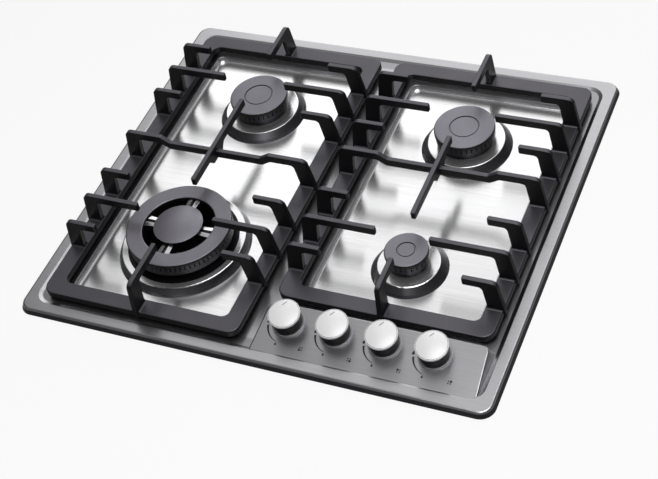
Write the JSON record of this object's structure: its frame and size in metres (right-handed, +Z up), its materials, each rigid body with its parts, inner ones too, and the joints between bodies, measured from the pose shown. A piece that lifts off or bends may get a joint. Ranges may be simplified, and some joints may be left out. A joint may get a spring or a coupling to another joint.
{
  "type": "gas cooktop",
  "caption": "Built-in gas cooktop: pressed steel plate with cast pan supports, flat-capped burners, a triple-ring burner and push-and-turn knobs on a sloping panel.",
  "frame": {"origin": "middle of the plate at the upper face of the worktop it sits on", "axes": "+Z up, +X to the right, -Y towards the user"},
  "size_m": [0.58, 0.51, 0.1152],
  "materials": {
    "steel_plate": "brushed stainless steel",
    "seal_foam": "closed-cell foam",
    "box_sheet": "galvanised and painted sheet",
    "zinc_steel": "zinc-plated steel",
    "grate_enamel": "matt black enamel on cast iron",
    "grate_rubber": "moulded rubber",
    "burner_aluminium": "die-cast aluminium",
    "head_aluminium": "dark die-cast aluminium",
    "cap_enamel": "matt enamel on steel",
    "brass": "turned brass",
    "ceramic": "glazed ceramic",
    "rail_steel": "plated steel",
    "pipe_aluminium": "drawn aluminium tube",
    "knob_metal": "satin silver metal",
    "knob_plastic": "black moulded plastic",
    "bezel_grey": "light grey moulding",
    "ignition_plastic": "black moulded plastic",
    "lead_silicone": "silicone sheath"
  },
  "bodies": {
    "root": {"top_plate": "steel_plate", "worktop_seal": "seal_foam", "burner_box": "box_sheet", "box_nuts": "zinc_steel", "clamp_screws": "zinc_steel", "cup_screws": "zinc_steel", "fixing_clamps": "zinc_steel", "burner_supports": "zinc_steel", "rail_saddles": "zinc_steel", "front_left_cup": "burner_aluminium", "rear_left_cup": "burner_aluminium", "rear_right_cup": "burner_aluminium", "front_right_cup": "burner_aluminium", "gas_taps": "burner_aluminium", "jets": "brass", "gas_inlet": "brass", "spark_plugs": "ceramic", "gas_rail": "rail_steel", "front_left_pipe": "pipe_aluminium", "rear_left_pipe": "pipe_aluminium", "rear_right_pipe": "pipe_aluminium", "front_right_pipe": "pipe_aluminium", "knob_bezels": "bezel_grey", "spark_generator": "ignition_plastic", "spark_switches": "ignition_plastic", "spark_leads": "lead_silicone"},
    "left_grate": {"left_grate": "grate_enamel", "left_grate_feet": "grate_rubber"},
    "right_grate": {"right_grate": "grate_enamel", "right_grate_feet": "grate_rubber"},
    "rear_left_head": {"rear_left_head": "head_aluminium"},
    "rear_left_cap": {"rear_left_cap": "cap_enamel"},
    "rear_right_head": {"rear_right_head": "head_aluminium"},
    "rear_right_cap": {"rear_right_cap": "cap_enamel"},
    "front_right_head": {"front_right_head": "head_aluminium"},
    "front_right_cap": {"front_right_cap": "cap_enamel"},
    "front_left_head": {"front_left_head": "head_aluminium"},
    "front_left_outer_cap": {"front_left_outer_cap": "cap_enamel"},
    "front_left_inner_cap": {"front_left_inner_cap": "cap_enamel"},
    "valve_1": {"tap_1_plug": "brass", "tap_1_spring": "rail_steel"},
    "knob_1": {"knob_1_body": "knob_plastic", "knob_1_cap": "knob_metal", "knob_1_stem": "rail_steel"},
    "valve_2": {"tap_2_plug": "brass", "tap_2_spring": "rail_steel"},
    "knob_2": {"knob_2_body": "knob_plastic", "knob_2_cap": "knob_metal", "knob_2_stem": "rail_steel"},
    "valve_3": {"tap_3_plug": "brass", "tap_3_spring": "rail_steel"},
    "knob_3": {"knob_3_body": "knob_plastic", "knob_3_cap": "knob_metal", "knob_3_stem": "rail_steel"},
    "valve_4": {"tap_4_plug": "brass", "tap_4_spring": "rail_steel"},
    "knob_4": {"knob_4_body": "knob_plastic", "knob_4_cap": "knob_metal", "knob_4_stem": "rail_steel"}
  },
  "joints": [
    {"name": "left_grate_lift", "type": "slide", "parent": "root", "child": "left_grate", "axis": [0, 0, 1], "range_m": [0, 0.04]},
    {"name": "right_grate_lift", "type": "slide", "parent": "root", "child": "right_grate", "axis": [0, 0, 1], "range_m": [0, 0.04]},
    {"name": "rear_left_head_lift", "type": "slide", "parent": "root", "child": "rear_left_head", "axis": [0, 0, 1], "range_m": [0, 0.007]},
    {"name": "rear_left_cap_lift", "type": "slide", "parent": "rear_left_head", "child": "rear_left_cap", "axis": [0, 0, 1], "range_m": [0, 0.007]},
    {"name": "rear_right_head_lift", "type": "slide", "parent": "root", "child": "rear_right_head", "axis": [0, 0, 1], "range_m": [0, 0.007]},
    {"name": "rear_right_cap_lift", "type": "slide", "parent": "rear_right_head", "child": "rear_right_cap", "axis": [0, 0, 1], "range_m": [0, 0.007]},
    {"name": "front_right_head_lift", "type": "slide", "parent": "root", "child": "front_right_head", "axis": [0, 0, 1], "range_m": [0, 0.007]},
    {"name": "front_right_cap_lift", "type": "slide", "parent": "front_right_head", "child": "front_right_cap", "axis": [0, 0, 1], "range_m": [0, 0.007]},
    {"name": "front_left_head_lift", "type": "slide", "parent": "root", "child": "front_left_head", "axis": [0, 0, 1], "range_m": [0, 0.004]},
    {"name": "front_left_outer_cap_lift", "type": "slide", "parent": "front_left_head", "child": "front_left_outer_cap", "axis": [0, 0, 1], "range_m": [0, 0.004]},
    {"name": "front_left_inner_cap_lift", "type": "slide", "parent": "front_left_head", "child": "front_left_inner_cap", "axis": [0, 0, 1], "range_m": [0, 0.004]},
    {"name": "knob_1_turn", "type": "hinge", "parent": "root", "child": "valve_1", "pos_m": [0.039, -0.19755, 0.01226], "axis": [0, -0.1409, 0.99], "range_deg": [0, 180]},
    {"name": "knob_1_push", "type": "slide", "parent": "valve_1", "child": "knob_1", "axis": [0, 0.1409, -0.99], "range_m": [0, 0.0032], "stiffness_N_per_m": 1200, "springref_m": -0.0025, "deforming": ["tap_1_spring"]},
    {"name": "knob_2_turn", "type": "hinge", "parent": "root", "child": "valve_2", "pos_m": [0.096, -0.19755, 0.01226], "axis": [0, -0.1409, 0.99], "range_deg": [0, 180]},
    {"name": "knob_2_push", "type": "slide", "parent": "valve_2", "child": "knob_2", "axis": [0, 0.1409, -0.99], "range_m": [0, 0.0032], "stiffness_N_per_m": 1200, "springref_m": -0.0025, "deforming": ["tap_2_spring"]},
    {"name": "knob_3_turn", "type": "hinge", "parent": "root", "child": "valve_3", "pos_m": [0.153, -0.19755, 0.01226], "axis": [0, -0.1409, 0.99], "range_deg": [0, 180]},
    {"name": "knob_3_push", "type": "slide", "parent": "valve_3", "child": "knob_3", "axis": [0, 0.1409, -0.99], "range_m": [0, 0.0032], "stiffness_N_per_m": 1200, "springref_m": -0.0025, "deforming": ["tap_3_spring"]},
    {"name": "knob_4_turn", "type": "hinge", "parent": "root", "child": "valve_4", "pos_m": [0.21, -0.19755, 0.01226], "axis": [0, -0.1409, 0.99], "range_deg": [0, 180]},
    {"name": "knob_4_push", "type": "slide", "parent": "valve_4", "child": "knob_4", "axis": [0, 0.1409, -0.99], "range_m": [0, 0.0032], "stiffness_N_per_m": 1200, "springref_m": -0.0025, "deforming": ["tap_4_spring"]}
  ]
}
